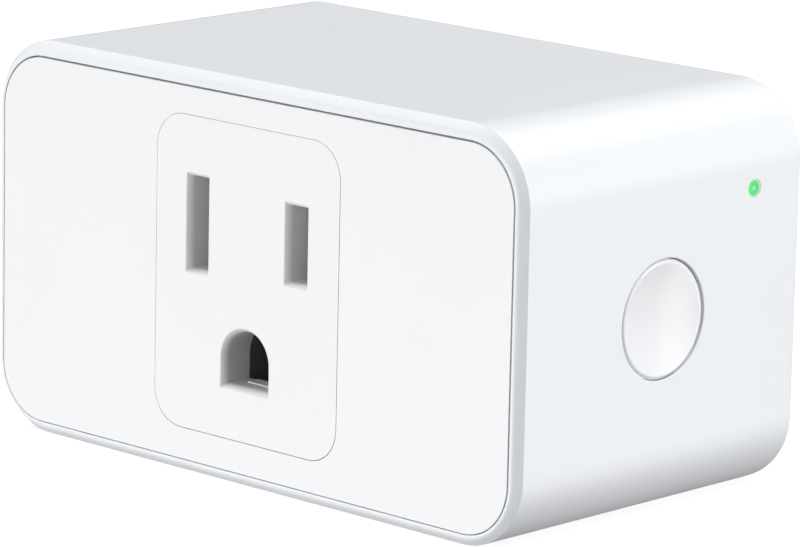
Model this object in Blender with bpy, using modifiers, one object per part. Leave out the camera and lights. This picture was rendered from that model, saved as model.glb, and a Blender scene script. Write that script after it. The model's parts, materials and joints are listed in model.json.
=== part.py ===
"""Smart plug for a North American grounded outlet, modelled as its separate pieces.

Frame: metres, +Z up, +X towards the side with the push button, +Y towards the wall.
The origin is the centre of the flat rear face that meets the wall plate, so the
socket face lies at y = -DEPTH and the blades stand out at y > 0.
"""

import math

import bmesh
import bpy

MM = 0.001
GAP = 0.3 * MM

# Case
WIDTH = 67.6 * MM
HEIGHT = 37.8 * MM
DEPTH = 38.0 * MM
CORNER_RADIUS = 7.0 * MM
RIM_BEVEL = 0.8 * MM
WALL = 1.8 * MM
SEAM_WIDTH = 65.3 * MM
SEAM_HEIGHT = 35.1 * MM
SEAM_RADIUS = 5.3 * MM
SEAM_Z = -0.15 * MM
PLATE_THICKNESS = 1.0 * MM
FRONT_WALL_BACK = 3.1 * MM
CAVITY_WIDTH = WIDTH - 2 * WALL
CAVITY_HEIGHT = HEIGHT - 2 * WALL
CAVITY_RADIUS = CORNER_RADIUS - WALL
COVER_THICKNESS = 2.2 * MM

# Socket face and the openings in it
ISLAND_WIDTH = 23.5 * MM
ISLAND_HEIGHT = 29.4 * MM
ISLAND_RADIUS = 3.4 * MM
FLANGE_MARGIN = 1.6 * MM
FLANGE_FRONT = FRONT_WALL_BACK + GAP
FLANGE_BACK = 4.6 * MM
SLOT_SPACING = 12.7 * MM
SLOT_Z = 4.72 * MM
SLOT_WIDTH = 3.0 * MM
NEUTRAL_SLOT_HEIGHT = 9.4 * MM
LINE_SLOT_HEIGHT = 7.8 * MM
GROUND_DROP = 11.85 * MM
GROUND_Z = SLOT_Z - GROUND_DROP
GROUND_RADIUS = 3.13 * MM
GROUND_FLOOR = 2.87 * MM
LEAD_IN = 0.42 * MM

# Contacts behind the socket face
CARRIER_WIDTH = 24.6 * MM
CARRIER_HEIGHT = 30.6 * MM
CARRIER_FRONT = FLANGE_BACK + GAP
CARRIER_BACK = 18.0 * MM
POCKET_FLOOR = 16.5 * MM
BLADE_POCKET = (7.0 * MM, 10.4 * MM)
BLADE_POCKET_SHIFT = 0.45 * MM
GROUND_POCKET = (9.6 * MM, 8.0 * MM)
GROUND_POCKET_SHIFT = 0.6 * MM
CONTACT_MOUTH = 7.2 * MM
CONTACT_ROOT = 15.9 * MM
CONTACT_METAL = 0.5 * MM
CONTACT_HEIGHT = 5.0 * MM
BLADE_GRIP = 1.3 * MM
PIN_GRIP = 4.2 * MM
TAIL_END = 34.3 * MM
LINE_TAIL_OFFSET = 3.2 * MM
GROUND_TAIL_OFFSET = 4.3 * MM
TAIL_SLOT_WIDTH = CONTACT_METAL + 2.6 * GAP
TAIL_SLOT_HEIGHT = CONTACT_HEIGHT + 2.6 * GAP

# Blades and ground pin
BLADE_THICKNESS = 1.5 * MM
BLADE_LENGTH = 17.8 * MM
LINE_BLADE_HEIGHT = 6.35 * MM
NEUTRAL_BLADE_HEIGHT = 7.9 * MM
BLADE_HOLE_RADIUS = 1.6 * MM
BLADE_HOLE_Y = 12.0 * MM
BLADE_TIP = 1.6 * MM
PIN_RADIUS = 2.4 * MM
PIN_LENGTH = 21.0 * MM
BLADE_HEAD = (34.5 * MM, 35.5 * MM)
BLADE_TAIL = 30.6 * MM

# Cover screws
SCREW_X = 27.6 * MM
SCREW_Z = 14.0 * MM
BOSS_RADIUS = 2.5 * MM
PILOT_RADIUS = 1.4 * MM
SHANK_RADIUS = 1.1 * MM
SCREW_HEAD_RADIUS = 2.1 * MM
SCREW_LENGTH = 11.0 * MM
COUNTERBORE_DEPTH = 1.6 * MM
BOSS_FOOT = FRONT_WALL_BACK - 0.5 * MM
BOSS_END = 35.4 * MM

# Boards
MAIN_BOARD = (32.0 * MM, 33.6 * MM)
PART_SEAT = MAIN_BOARD[0] - GAP
CONTROL_BOARD_X = (23.4 * MM, 24.4 * MM)
CONTROL_BOARD_FRONT = 8.0 * MM
CONTROL_BOARD_HEIGHT = 29.0 * MM

# Relay, on the main board left of the socket
RELAY_X = -20.4 * MM
RELAY_WIDTH = 10.2 * MM
RELAY_LENGTH = 18.4 * MM
RELAY_FRONT = 16.2 * MM
RELAY_BASE = (30.2 * MM, 31.6 * MM)
RELAY_WALL = 0.8 * MM
COIL_Z = -3.9 * MM
ARMATURE_PIVOT_Z = 1.7 * MM
ARMATURE_SPAN = (17.5 * MM, 18.3 * MM)
FIXED_CONTACT_Z = 6.0 * MM
RELAY_CONTACT_DEPTH = 25.3 * MM
RELAY_TERMINAL_SLOT = (5.4 * MM, 1.4 * MM)
COIL_TOP = 20.5 * MM
COIL_BOTTOM = 28.6 * MM
SPOOL_RADIUS = 3.9 * MM
SPOOL_HUB = 2.4 * MM
SPOOL_BORE = 1.8 * MM
RIVET_RADIUS = 1.1 * MM

# Push button and status light on the right side
BUTTON_DEPTH = 18.7 * MM
BUTTON_Z = -0.13 * MM
BUTTON_RADIUS = 5.35 * MM
BUTTON_FLANGE_RADIUS = 6.6 * MM
BUTTON_DISH = 0.55 * MM
PLUNGER_RADIUS = 1.75 * MM
LIGHT_DEPTH = 30.8 * MM
LIGHT_Z = 10.2 * MM
LIGHT_RADIUS = 0.7 * MM

EXTRUDE_ROTATION = {
    "X": (math.pi / 2, 0.0, math.pi / 2),
    "Y": (math.pi / 2, 0.0, 0.0),
    "Z": (0.0, 0.0, 0.0),
}
TURN_ROTATION = {
    "X": (0.0, math.pi / 2, 0.0),
    "Y": (-math.pi / 2, 0.0, 0.0),
    "Z": (0.0, 0.0, 0.0),
}


def clear_scene():
    for item in list(bpy.data.objects):
        bpy.data.objects.remove(item, do_unlink=True)


def make_collection(name):
    collection = bpy.data.collections.new(name)
    bpy.context.scene.collection.children.link(collection)
    return collection


def make_material(name, color, roughness, metallic=0.0):
    material = bpy.data.materials.new(name)
    material.use_nodes = True
    shader = material.node_tree.nodes["Principled BSDF"]
    shader.inputs["Base Color"].default_value = (*color, 1.0)
    shader.inputs["Roughness"].default_value = roughness
    shader.inputs["Metallic"].default_value = metallic
    return material


def behind(distance):
    """World y of the plane that lies this far behind the socket face."""
    return distance - DEPTH


def place(axis, centre, along):
    """World position of a point given across an axis and along it."""
    if axis == "X":
        return (along, centre[0], centre[1])
    if axis == "Y":
        return (centre[0], along, centre[1])
    return (centre[0], centre[1], along)


def add_object(name, mesh, material, location, rotation):
    item = bpy.data.objects.new(name, mesh)
    PARTS.objects.link(item)
    item.location = location
    item.rotation_euler = rotation
    if material:
        item.data.materials.append(material)
    return item


def make_tool(item):
    """Turn a solid into a hidden tool for a Boolean."""
    PARTS.objects.unlink(item)
    TOOLS.objects.link(item)
    item.hide_render = True
    item.display_type = "WIRE"


def combine(item, tool, operation):
    make_tool(tool)
    boolean = item.modifiers.new(operation.title(), "BOOLEAN")
    boolean.operation = operation
    boolean.object = tool


def cut(item, tool):
    combine(item, tool, "DIFFERENCE")


def join(item, tool):
    combine(item, tool, "UNION")


def bevel(item, width, segments=1, angle=60):
    modifier = item.modifiers.new("Bevel", "BEVEL")
    modifier.width = width
    modifier.segments = segments
    modifier.limit_method = "ANGLE"
    modifier.angle_limit = math.radians(angle)


def shade_round(mesh, angle=35):
    mesh.shade_smooth()
    mesh.set_sharp_from_angle(angle=math.radians(angle))


def arc(centre, radius, start, end, steps):
    points = []
    for step in range(steps + 1):
        angle = math.radians(start + (end - start) * step / steps)
        points.append((centre[0] + radius * math.cos(angle), centre[1] + radius * math.sin(angle)))
    return points


def circle(centre, radius, steps=16):
    return arc(centre, radius, 0, 360 * (steps - 1) / steps, steps - 1)


def rectangle(width, height, centre=(0.0, 0.0)):
    signs = ((-1, -1), (1, -1), (1, 1), (-1, 1))
    return [(centre[0] + x * width / 2, centre[1] + y * height / 2) for x, y in signs]


def rounded_rectangle(width, height, radius, steps=5):
    inset_x = width / 2 - radius
    inset_y = height / 2 - radius
    points = []
    for sign_x, sign_y, start in ((1, 1, 0), (-1, 1, 90), (-1, -1, 180), (1, -1, 270)):
        points += arc((sign_x * inset_x, sign_y * inset_y), radius, start, start + 90, steps)
    return points


def outset(margin, width, height, radius, steps=5):
    """A rounded rectangle grown by a margin on every side."""
    return rounded_rectangle(width + 2 * margin, height + 2 * margin, radius + margin, steps)


def prism(name, outlines, span, axis="Y", centre=(0.0, 0.0), material=None):
    """A flat outline, with holes where more outlines lie inside it, drawn out along an axis."""
    curve = bpy.data.curves.new(name, "CURVE")
    curve.dimensions = "2D"
    curve.fill_mode = "BOTH"
    curve.extrude = (span[1] - span[0]) / 2
    for outline in outlines:
        spline = curve.splines.new("POLY")
        spline.points.add(len(outline) - 1)
        for point, (x, y) in zip(spline.points, outline):
            point.co = (x, y, 0.0, 1.0)
        spline.use_cyclic_u = True
    guide = bpy.data.objects.new(name + "_outline", curve)
    PARTS.objects.link(guide)
    bpy.context.view_layer.update()
    evaluated = guide.evaluated_get(bpy.context.evaluated_depsgraph_get())
    mesh = bpy.data.meshes.new_from_object(evaluated)
    bpy.data.objects.remove(guide, do_unlink=True)
    weld(mesh)
    shade_round(mesh)
    mesh.name = name
    location = place(axis, centre, (span[0] + span[1]) / 2)
    return add_object(name, mesh, material, location, EXTRUDE_ROTATION[axis])


def weld(mesh):
    shape = bmesh.new()
    shape.from_mesh(mesh)
    bmesh.ops.remove_doubles(shape, verts=shape.verts, dist=0.001 * MM)
    bmesh.ops.recalc_face_normals(shape, faces=shape.faces)
    shape.to_mesh(mesh)
    shape.free()


def block(name, size, centre, material=None):
    shape = bmesh.new()
    bmesh.ops.create_cube(shape, size=1.0)
    bmesh.ops.scale(shape, vec=size, verts=shape.verts)
    mesh = bpy.data.meshes.new(name)
    shape.to_mesh(mesh)
    shape.free()
    return add_object(name, mesh, material, centre, (0.0, 0.0, 0.0))


def rod(name, radius, span, axis, centre, steps=24):
    """A plain cylinder, used as a tool."""
    shape = bmesh.new()
    bmesh.ops.create_cone(
        shape, cap_ends=True, segments=steps, radius1=radius, radius2=radius, depth=span[1] - span[0]
    )
    mesh = bpy.data.meshes.new(name)
    shape.to_mesh(mesh)
    shape.free()
    location = place(axis, centre, (span[0] + span[1]) / 2)
    return add_object(name, mesh, None, location, TURN_ROTATION[axis])


def loft(name, outlines, span, centre):
    """A tool skinned between two outlines of as many points, one at each end of its Y span."""
    shape = bmesh.new()
    near, far = [
        [shape.verts.new((x, y, z)) for x, z in outline] for outline, y in zip(outlines, span)
    ]
    shape.faces.new(near)
    shape.faces.new(far)
    for index, vertex in enumerate(near):
        shape.faces.new((near[index - 1], vertex, far[index], far[index - 1]))
    bmesh.ops.recalc_face_normals(shape, faces=shape.faces)
    mesh = bpy.data.meshes.new(name)
    shape.to_mesh(mesh)
    shape.free()
    return add_object(name, mesh, None, (centre[0], 0.0, centre[1]), (0.0, 0.0, 0.0))


def turned(name, profile, axis, centre, along, material, steps=24, closed=False):
    """A profile of (radius, height) points, given top to bottom, turned about its axis."""
    mesh = bpy.data.meshes.new(name)
    vertices = [(radius, 0.0, height) for radius, height in profile]
    edges = [(index, index + 1) for index in range(len(profile) - 1)]
    if closed:
        edges.append((len(profile) - 1, 0))
    mesh.from_pydata(vertices, edges, [])
    item = add_object(name, mesh, material, place(axis, centre, along), TURN_ROTATION[axis])
    screw = item.modifiers.new("Screw", "SCREW")
    screw.steps = steps
    screw.render_steps = steps
    screw.use_merge_vertices = True
    screw.merge_threshold = 0.001 * MM
    screw.use_smooth_shade = True
    return item


def bake(item):
    """The finished mesh of an object, for the copies that share it."""
    bpy.context.view_layer.update()
    evaluated = item.evaluated_get(bpy.context.evaluated_depsgraph_get())
    return bpy.data.meshes.new_from_object(evaluated)


def strip_outline(path, thickness):
    """Outline of a bent metal strip of even thickness that follows a path."""
    left = []
    right = []
    for index, point in enumerate(path):
        before = path[max(index - 1, 0)]
        after = path[min(index + 1, len(path) - 1)]
        run_in = unit(before, point) if index > 0 else unit(point, after)
        run_out = unit(point, after) if index < len(path) - 1 else run_in
        normal = (-run_in[1] - run_out[1], run_in[0] + run_out[0])
        scale = thickness / (normal[0] * -run_in[1] + normal[1] * run_in[0]) / 2
        left.append((point[0] + normal[0] * scale, point[1] + normal[1] * scale))
        right.append((point[0] - normal[0] * scale, point[1] - normal[1] * scale))
    return left + right[::-1]


def unit(start, end):
    length = math.hypot(end[0] - start[0], end[1] - start[1])
    return ((end[0] - start[0]) / length, (end[1] - start[1]) / length)


def shift(outline, centre):
    return [(x + centre[0], y + centre[1]) for x, y in outline]


def ground_outline(margin):
    """The D-shaped ground opening with a margin round it: an arch over a flat floor."""
    radius = GROUND_RADIUS + margin
    floor = -GROUND_FLOOR - margin
    return [(-radius, floor), (radius, floor)] + arc((0.0, 0.0), radius, 0, 180, 10)


# Case

def make_housing(material):
    outer = rounded_rectangle(WIDTH, HEIGHT, CORNER_RADIUS, 8)
    housing = prism("housing", [outer], (-DEPTH, 0.0), material=material)
    bevel(housing, RIM_BEVEL, 2)
    cavity = rounded_rectangle(CAVITY_WIDTH, CAVITY_HEIGHT, CAVITY_RADIUS, 6)
    cut(housing, prism("cavity", [cavity], (behind(FRONT_WALL_BACK), DEPTH)))
    ring = [circle((0.0, 0.0), BOSS_RADIUS), circle((0.0, 0.0), PILOT_RADIUS, 12)]
    for centre in screw_places():
        join(housing, prism("boss", ring, (behind(BOSS_FOOT), behind(BOSS_END)), centre=centre))
    recess = outset(GAP / 2, SEAM_WIDTH, SEAM_HEIGHT, SEAM_RADIUS, 6)
    recess_span = (-2 * DEPTH, behind(PLATE_THICKNESS + GAP))
    cut(housing, prism("recess", [recess], recess_span, centre=(0.0, SEAM_Z)))
    window = outset(GAP / 2, ISLAND_WIDTH, ISLAND_HEIGHT, ISLAND_RADIUS)
    cut(housing, prism("window", [window], (-2 * DEPTH, behind(2 * FRONT_WALL_BACK))))
    side = (WIDTH / 2 - 2 * WALL, WIDTH)
    button_centre = (behind(BUTTON_DEPTH), BUTTON_Z)
    cut(housing, rod("button_bore", BUTTON_RADIUS + GAP, side, "X", button_centre, 32))
    light_centre = (behind(LIGHT_DEPTH), LIGHT_Z)
    cut(housing, rod("light_bore", LIGHT_RADIUS + GAP, side, "X", light_centre, 12))


def make_faceplate(material):
    outer = outset(-GAP / 2, SEAM_WIDTH, SEAM_HEIGHT, SEAM_RADIUS, 6)
    window = outset(GAP / 2, ISLAND_WIDTH, ISLAND_HEIGHT, ISLAND_RADIUS)
    window = shift(window, (0.0, -SEAM_Z))
    span = (-DEPTH, behind(PLATE_THICKNESS))
    prism("faceplate", [outer, window], span, centre=(0.0, SEAM_Z), material=material)


def screw_places():
    return [(x, z) for x in (-SCREW_X, SCREW_X) for z in (-SCREW_Z, SCREW_Z)]


def make_rear_cover(material):
    span = (-COVER_THICKNESS, 0.0)
    outer = outset(-GAP, CAVITY_WIDTH, CAVITY_HEIGHT, CAVITY_RADIUS, 6)
    openings = [
        rectangle(BLADE_THICKNESS + 2 * GAP, LINE_BLADE_HEIGHT + 2 * GAP, (SLOT_SPACING / 2, SLOT_Z)),
        rectangle(BLADE_THICKNESS + 2 * GAP, NEUTRAL_BLADE_HEIGHT + 2 * GAP, (-SLOT_SPACING / 2, SLOT_Z)),
        circle((0.0, GROUND_Z), PIN_RADIUS + GAP),
    ]
    openings += [circle(centre, PILOT_RADIUS, 12) for centre in screw_places()]
    cover = prism("rear_cover", [outer] + openings, span, material=material)
    bore = (-COUNTERBORE_DEPTH, DEPTH)
    for centre in screw_places():
        cut(cover, rod("counterbore", SCREW_HEAD_RADIUS + GAP, bore, "Y", centre, 20))


def make_cover_screws(material):
    head_top = -0.2 * MM
    head_base = GAP - COUNTERBORE_DEPTH
    profile = [
        (0.0, head_top),
        (SCREW_HEAD_RADIUS - 0.3 * MM, head_top),
        (SCREW_HEAD_RADIUS, head_top - 0.3 * MM),
        (SCREW_HEAD_RADIUS, head_base),
        (SHANK_RADIUS, head_base),
        (SHANK_RADIUS, 1.5 * MM - SCREW_LENGTH),
        (0.0, -SCREW_LENGTH),
    ]
    model = turned("cover_screw", profile, "Y", (0.0, 0.0), 0.0, material, 16)
    recess_size = (2.4 * MM, 1.2 * MM, 0.6 * MM)
    for turn in (0.0, math.pi / 2):
        slot = block("cross_slot", recess_size, (0.0, head_top, 0.0))
        slot.rotation_euler = (0.0, turn, 0.0)
        cut(model, slot)
    mesh = bake(model)
    make_tool(model)
    for corner, centre in enumerate(screw_places(), start=1):
        add_object("cover_screw_%d" % corner, mesh, None, place("Y", centre, 0.0), TURN_ROTATION["Y"])


# Socket

def make_socket_insert(material):
    face = outset(-GAP / 2, ISLAND_WIDTH, ISLAND_HEIGHT, ISLAND_RADIUS)
    flange = outset(FLANGE_MARGIN - GAP / 2, ISLAND_WIDTH, ISLAND_HEIGHT, ISLAND_RADIUS)
    insert = prism("socket_insert", [face], (-DEPTH, behind(FLANGE_BACK - 0.4 * MM)), material=material)
    join(insert, prism("insert_flange", [flange], (behind(FLANGE_FRONT), behind(FLANGE_BACK))))
    cut_opening(insert, "neutral_slot", slot_outline(NEUTRAL_SLOT_HEIGHT), (-SLOT_SPACING / 2, SLOT_Z))
    cut_opening(insert, "line_slot", slot_outline(LINE_SLOT_HEIGHT), (SLOT_SPACING / 2, SLOT_Z))
    cut_opening(insert, "ground_opening", ground_outline, (0.0, GROUND_Z))


def slot_outline(height):
    """A blade slot's outline, as a function of a margin round it."""
    return lambda margin: rectangle(SLOT_WIDTH + 2 * margin, height + 2 * margin)


def cut_opening(insert, name, outline, centre):
    """An opening whose edge at the face slopes in at 45 degrees to a narrower throat."""
    through = (-2 * DEPTH, behind(2 * FLANGE_BACK))
    cut(insert, prism(name, [outline(-LEAD_IN)], through, centre=centre))
    reach = LEAD_IN + 0.1 * MM
    slope = (outline(reach), outline(-reach))
    cut(insert, loft(name + "_lead_in", slope, (behind(-reach), behind(reach)), centre))


def make_contact_carrier(material):
    outer = rounded_rectangle(CARRIER_WIDTH, CARRIER_HEIGHT, 1.5 * MM, 3)
    tail_slot = rectangle(TAIL_SLOT_WIDTH, TAIL_SLOT_HEIGHT)
    tails = [shift(tail_slot, centre) for centre in tail_places()]
    span = (behind(CARRIER_FRONT), behind(CARRIER_BACK))
    carrier = prism("contact_carrier", [outer] + tails, span, material=material)
    pocket_span = (-2 * DEPTH, behind(POCKET_FLOOR))
    for side in (-1, 1):
        centre = (side * (SLOT_SPACING / 2 + BLADE_POCKET_SHIFT), SLOT_Z)
        pocket = rectangle(*BLADE_POCKET)
        cut(carrier, prism("blade_pocket", [pocket], pocket_span, centre=centre))
    pocket = rectangle(*GROUND_POCKET)
    cut(carrier, prism("ground_pocket", [pocket], pocket_span, centre=(GROUND_POCKET_SHIFT, GROUND_Z)))


def tail_places():
    """Where the three contact tails pass through the carrier and the main board."""
    reach = SLOT_SPACING / 2 + LINE_TAIL_OFFSET
    return [(reach, SLOT_Z), (-reach, SLOT_Z), (GROUND_TAIL_OFFSET, GROUND_Z)]


def make_contact(name, x, z, grip, tail_x, material):
    """A folded strip whose two leaves grip a blade, with a tail back to the main board."""
    root = grip / 2 + 0.7 * MM
    mouth = grip / 2 + 1.0 * MM
    leaf = [
        (mouth, CONTACT_MOUTH),
        (grip / 2 + CONTACT_METAL / 2, CONTACT_MOUTH + 2.6 * MM),
        (root, CONTACT_ROOT - 3.4 * MM),
        (root, CONTACT_ROOT),
    ]
    path = [(-reach, distance) for reach, distance in leaf] + leaf[::-1]
    span = (-CONTACT_HEIGHT / 2, CONTACT_HEIGHT / 2)
    fold = strip_outline([(x + reach, behind(distance)) for reach, distance in path], CONTACT_METAL)
    contact = prism(name, [fold], (z + span[0], z + span[1]), "Z", material=material)
    tail_path = [
        (x, behind(CONTACT_ROOT)),
        (tail_x, behind(CONTACT_ROOT)),
        (tail_x, behind(TAIL_END)),
    ]
    tail_span = (z + 0.9 * span[0], z + 0.9 * span[1])
    join(contact, prism(name + "_tail", [strip_outline(tail_path, CONTACT_METAL)], tail_span, "Z"))


def make_contacts(brass):
    reach = SLOT_SPACING / 2
    make_contact("line_contact", reach, SLOT_Z, BLADE_GRIP, reach + LINE_TAIL_OFFSET, brass)
    make_contact("neutral_contact", -reach, SLOT_Z, BLADE_GRIP, -reach - LINE_TAIL_OFFSET, brass)
    make_contact("ground_contact", 0.0, GROUND_Z, PIN_GRIP, GROUND_TAIL_OFFSET, brass)


# Blades

def make_blade(name, x, height, material):
    half = BLADE_THICKNESS / 2
    right_side = [
        (0.45 * half, BLADE_LENGTH),
        (half, BLADE_LENGTH - BLADE_TIP),
        (half, behind(BLADE_HEAD[1])),
        (2 * half, behind(BLADE_HEAD[1])),
        (2 * half, behind(BLADE_HEAD[0])),
        (0.5 * half, behind(BLADE_HEAD[0]) - 0.1 * MM),
        (0.5 * half, behind(BLADE_TAIL)),
    ]
    outline = right_side + [(-reach, y) for reach, y in right_side[::-1]]
    span = (SLOT_Z - height / 2, SLOT_Z + height / 2)
    blade = prism(name, [outline], span, "Z", (x, 0.0), material)
    hole_centre = (BLADE_HOLE_Y, SLOT_Z)
    cut(blade, rod(name + "_hole", BLADE_HOLE_RADIUS, (x - 2 * half, x + 2 * half), "X", hole_centre, 20))


def make_ground_pin(material):
    head_back = behind(BLADE_HEAD[0])
    head_front = behind(BLADE_HEAD[1])
    dome = arc((0.0, PIN_LENGTH - PIN_RADIUS), PIN_RADIUS, 90, 0, 6)
    dome[0] = (0.0, PIN_LENGTH)
    profile = dome + [
        (PIN_RADIUS, head_front),
        (1.4 * PIN_RADIUS, head_front),
        (1.4 * PIN_RADIUS, head_back),
        (0.4 * PIN_RADIUS, head_back),
        (0.4 * PIN_RADIUS, behind(BLADE_TAIL)),
        (0.0, behind(BLADE_TAIL)),
    ]
    turned("ground_pin", profile, "Y", (0.0, GROUND_Z), 0.0, material, 24)


# Main board and the parts on it

def make_main_board(material):
    half_w = CAVITY_WIDTH / 2 - 0.6 * MM
    half_h = CAVITY_HEIGHT / 2 - 0.6 * MM
    notch_x = SCREW_X - BOSS_RADIUS - 0.5 * MM
    notch_z = SCREW_Z - BOSS_RADIUS - 0.5 * MM
    outline = []
    for sign_x, sign_z in ((1, 1), (-1, 1), (-1, -1), (1, -1)):
        corner = [(half_w, notch_z), (notch_x, notch_z), (notch_x, half_h)]
        if sign_x != sign_z:
            corner.reverse()
        outline += [(sign_x * x, sign_z * z) for x, z in corner]
    blade_slot = rectangle(0.5 * BLADE_THICKNESS + 2.6 * GAP, NEUTRAL_BLADE_HEIGHT + 2.6 * GAP)
    tail_slot = rectangle(TAIL_SLOT_WIDTH, TAIL_SLOT_HEIGHT)
    holes = [shift(tail_slot, centre) for centre in tail_places()]
    holes += [shift(blade_slot, (side * SLOT_SPACING / 2, SLOT_Z)) for side in (-1, 1)]
    holes.append(circle((0.0, GROUND_Z), 0.4 * PIN_RADIUS + 1.3 * GAP, 12))
    holes.append(rectangle(*RELAY_TERMINAL_SLOT, (RELAY_X, FIXED_CONTACT_Z)))
    span = (behind(MAIN_BOARD[0]), behind(MAIN_BOARD[1]))
    prism("main_board", [outline] + holes, span, material=material)


def make_capacitor(name, x, z, radius, height, material):
    """A radial can standing on the main board, with a rolled groove near its foot."""
    groove = 0.4 * MM
    profile = [
        (0.0, 0.0),
        (radius, 0.0),
        (radius, -1.4 * MM),
        (radius - groove, -2.0 * MM),
        (radius, -2.6 * MM),
        (radius, groove - height),
        (radius - groove, -height),
        (0.0, -height),
    ]
    turned(name, profile, "Y", (x, z), behind(PART_SEAT), material, 20)


def make_drum_inductor(ferrite, copper):
    """A ferrite drum with its winding between the two cheeks."""
    centre = (17.8 * MM, 12.2 * MM)
    foot = behind(PART_SEAT)
    height = 7.6 * MM
    cheek = 1.0 * MM
    cheek_radius = 3.7 * MM
    hub_radius = 1.8 * MM
    profile = [
        (0.0, 0.0),
        (cheek_radius, 0.0),
        (cheek_radius, -cheek),
        (hub_radius, -cheek),
        (hub_radius, cheek - height),
        (cheek_radius, cheek - height),
        (cheek_radius, -height),
        (0.0, -height),
    ]
    turned("inductor_core", profile, "Y", centre, foot, ferrite, 20)
    outside = cheek_radius - 0.5 * MM
    inside = hub_radius + GAP
    top = -cheek - 0.4 * MM
    bottom = cheek + 0.4 * MM - height
    ring = [(outside, top), (outside, bottom), (inside, bottom), (inside, top)]
    turned("inductor_winding", ring, "Y", centre, foot, copper, 20, closed=True)


def seat(size_x, size_z, height, centre, name, material, edge=0.3 * MM):
    """A boxed part with its foot on the main board."""
    middle = (centre[0], behind(PART_SEAT) - height / 2, centre[1])
    part = block(name, (size_x, height, size_z), middle, material)
    bevel(part, edge)
    return part


def make_board_parts(colors):
    make_capacitor("bulk_capacitor_1", 17.6 * MM, -12.2 * MM, 4.0 * MM, 13.0 * MM, colors["sleeve"])
    make_capacitor("bulk_capacitor_2", 17.6 * MM, -3.6 * MM, 4.0 * MM, 13.0 * MM, colors["sleeve"])
    make_capacitor("output_capacitor", 15.6 * MM, 4.2 * MM, 2.5 * MM, 8.0 * MM, colors["sleeve"])
    make_drum_inductor(colors["ferrite"], colors["copper"])
    seat(3.8 * MM, 4.8 * MM, 1.6 * MM, (21.0 * MM, 4.2 * MM), "power_chip", colors["black"], 0.2 * MM)
    seat(11.0 * MM, 5.4 * MM, 10.0 * MM, (-18.6 * MM, 13.2 * MM), "x_capacitor", colors["yellow"])
    seat(6.4 * MM, 4.8 * MM, 2.6 * MM, (-21.0 * MM, -13.0 * MM), "bridge_rectifier", colors["black"])
    seat(6.0 * MM, 2.4 * MM, 1.2 * MM, (0.0, 13.0 * MM), "current_shunt", colors["steel"])
    make_resistor(colors["ceramic"])
    make_varistor(colors["blue"])


def make_resistor(material):
    """A ceramic rod with a swollen cap at each end, standing on the main board."""
    length = 9.0 * MM
    end_radius = 1.7 * MM
    cap_radius = 2.1 * MM
    rod_radius = 1.8 * MM
    low_half = [(0.0, 0.0), (end_radius, 0.0), (cap_radius, -0.8 * MM), (rod_radius, -2.0 * MM)]
    profile = low_half + [(radius, -length - height) for radius, height in low_half[::-1]]
    turned("fusible_resistor", profile, "Y", (-15.0 * MM, -13.0 * MM), behind(PART_SEAT), material, 16)


def make_varistor(material):
    """A coated disc on edge beside the relay."""
    half = 2.0 * MM
    flat_radius = 3.6 * MM
    radius = 4.3 * MM
    edge_half = 1.2 * MM
    profile = [
        (0.0, half),
        (flat_radius, half),
        (radius, edge_half),
        (radius, -edge_half),
        (flat_radius, -half),
        (0.0, -half),
    ]
    turned("varistor", profile, "X", (behind(26.8 * MM), 0.0), -28.8 * MM, material, 20)


# Relay

def make_relay_case(colors):
    base_middle = (RELAY_BASE[0] + RELAY_BASE[1]) / 2
    base_size = (RELAY_WIDTH, RELAY_BASE[1] - RELAY_BASE[0], RELAY_LENGTH)
    base = block("relay_base", base_size, (RELAY_X, behind(base_middle), 0.0), colors["black"])
    slot_width, slot_height = RELAY_TERMINAL_SLOT
    slot_middle = (RELAY_X, behind(base_middle), FIXED_CONTACT_Z)
    cut(base, block("terminal_slot", (slot_width, 4.0 * MM, slot_height), slot_middle))
    cover_back = RELAY_BASE[0] - GAP
    cover_size = (RELAY_WIDTH, cover_back - RELAY_FRONT, RELAY_LENGTH)
    cover_middle = behind((cover_back + RELAY_FRONT) / 2)
    cover = block("relay_cover", cover_size, (RELAY_X, cover_middle, 0.0), colors["relay"])
    bevel(cover, 0.4 * MM)
    hollow_size = (RELAY_WIDTH - 2 * RELAY_WALL, cover_back - RELAY_FRONT, RELAY_LENGTH - 2 * RELAY_WALL)
    cut(cover, block("relay_hollow", hollow_size, (RELAY_X, cover_middle + RELAY_WALL, 0.0)))


def make_relay_coil(colors):
    centre = (RELAY_X, COIL_Z)
    top = behind(COIL_TOP)
    bottom = behind(COIL_BOTTOM)
    flange = 0.8 * MM
    spool = [
        (SPOOL_RADIUS, bottom),
        (SPOOL_RADIUS, bottom - flange),
        (SPOOL_HUB, bottom - flange),
        (SPOOL_HUB, top + flange),
        (SPOOL_RADIUS, top + flange),
        (SPOOL_RADIUS, top),
        (SPOOL_BORE, top),
        (SPOOL_BORE, bottom),
    ]
    turned("relay_bobbin", spool, "Y", centre, 0.0, colors["black"], 20, closed=True)
    outside = SPOOL_RADIUS - GAP
    inside = SPOOL_HUB + GAP
    coil_high = bottom - flange - GAP
    coil_low = top + flange + GAP
    coil = [(outside, coil_high), (outside, coil_low), (inside, coil_low), (inside, coil_high)]
    turned("relay_winding", coil, "Y", centre, 0.0, colors["copper"], 20, closed=True)
    core_radius = SPOOL_BORE - GAP
    pole_radius = 2.0 * MM
    pole_back = top - GAP
    pole_face = pole_back - 0.7 * MM
    core = [
        (0.0, bottom),
        (core_radius, bottom),
        (core_radius, pole_back),
        (pole_radius, pole_back),
        (pole_radius, pole_face),
        (0.0, pole_face),
    ]
    turned("relay_core", core, "Y", centre, 0.0, colors["steel"], 16)


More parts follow.
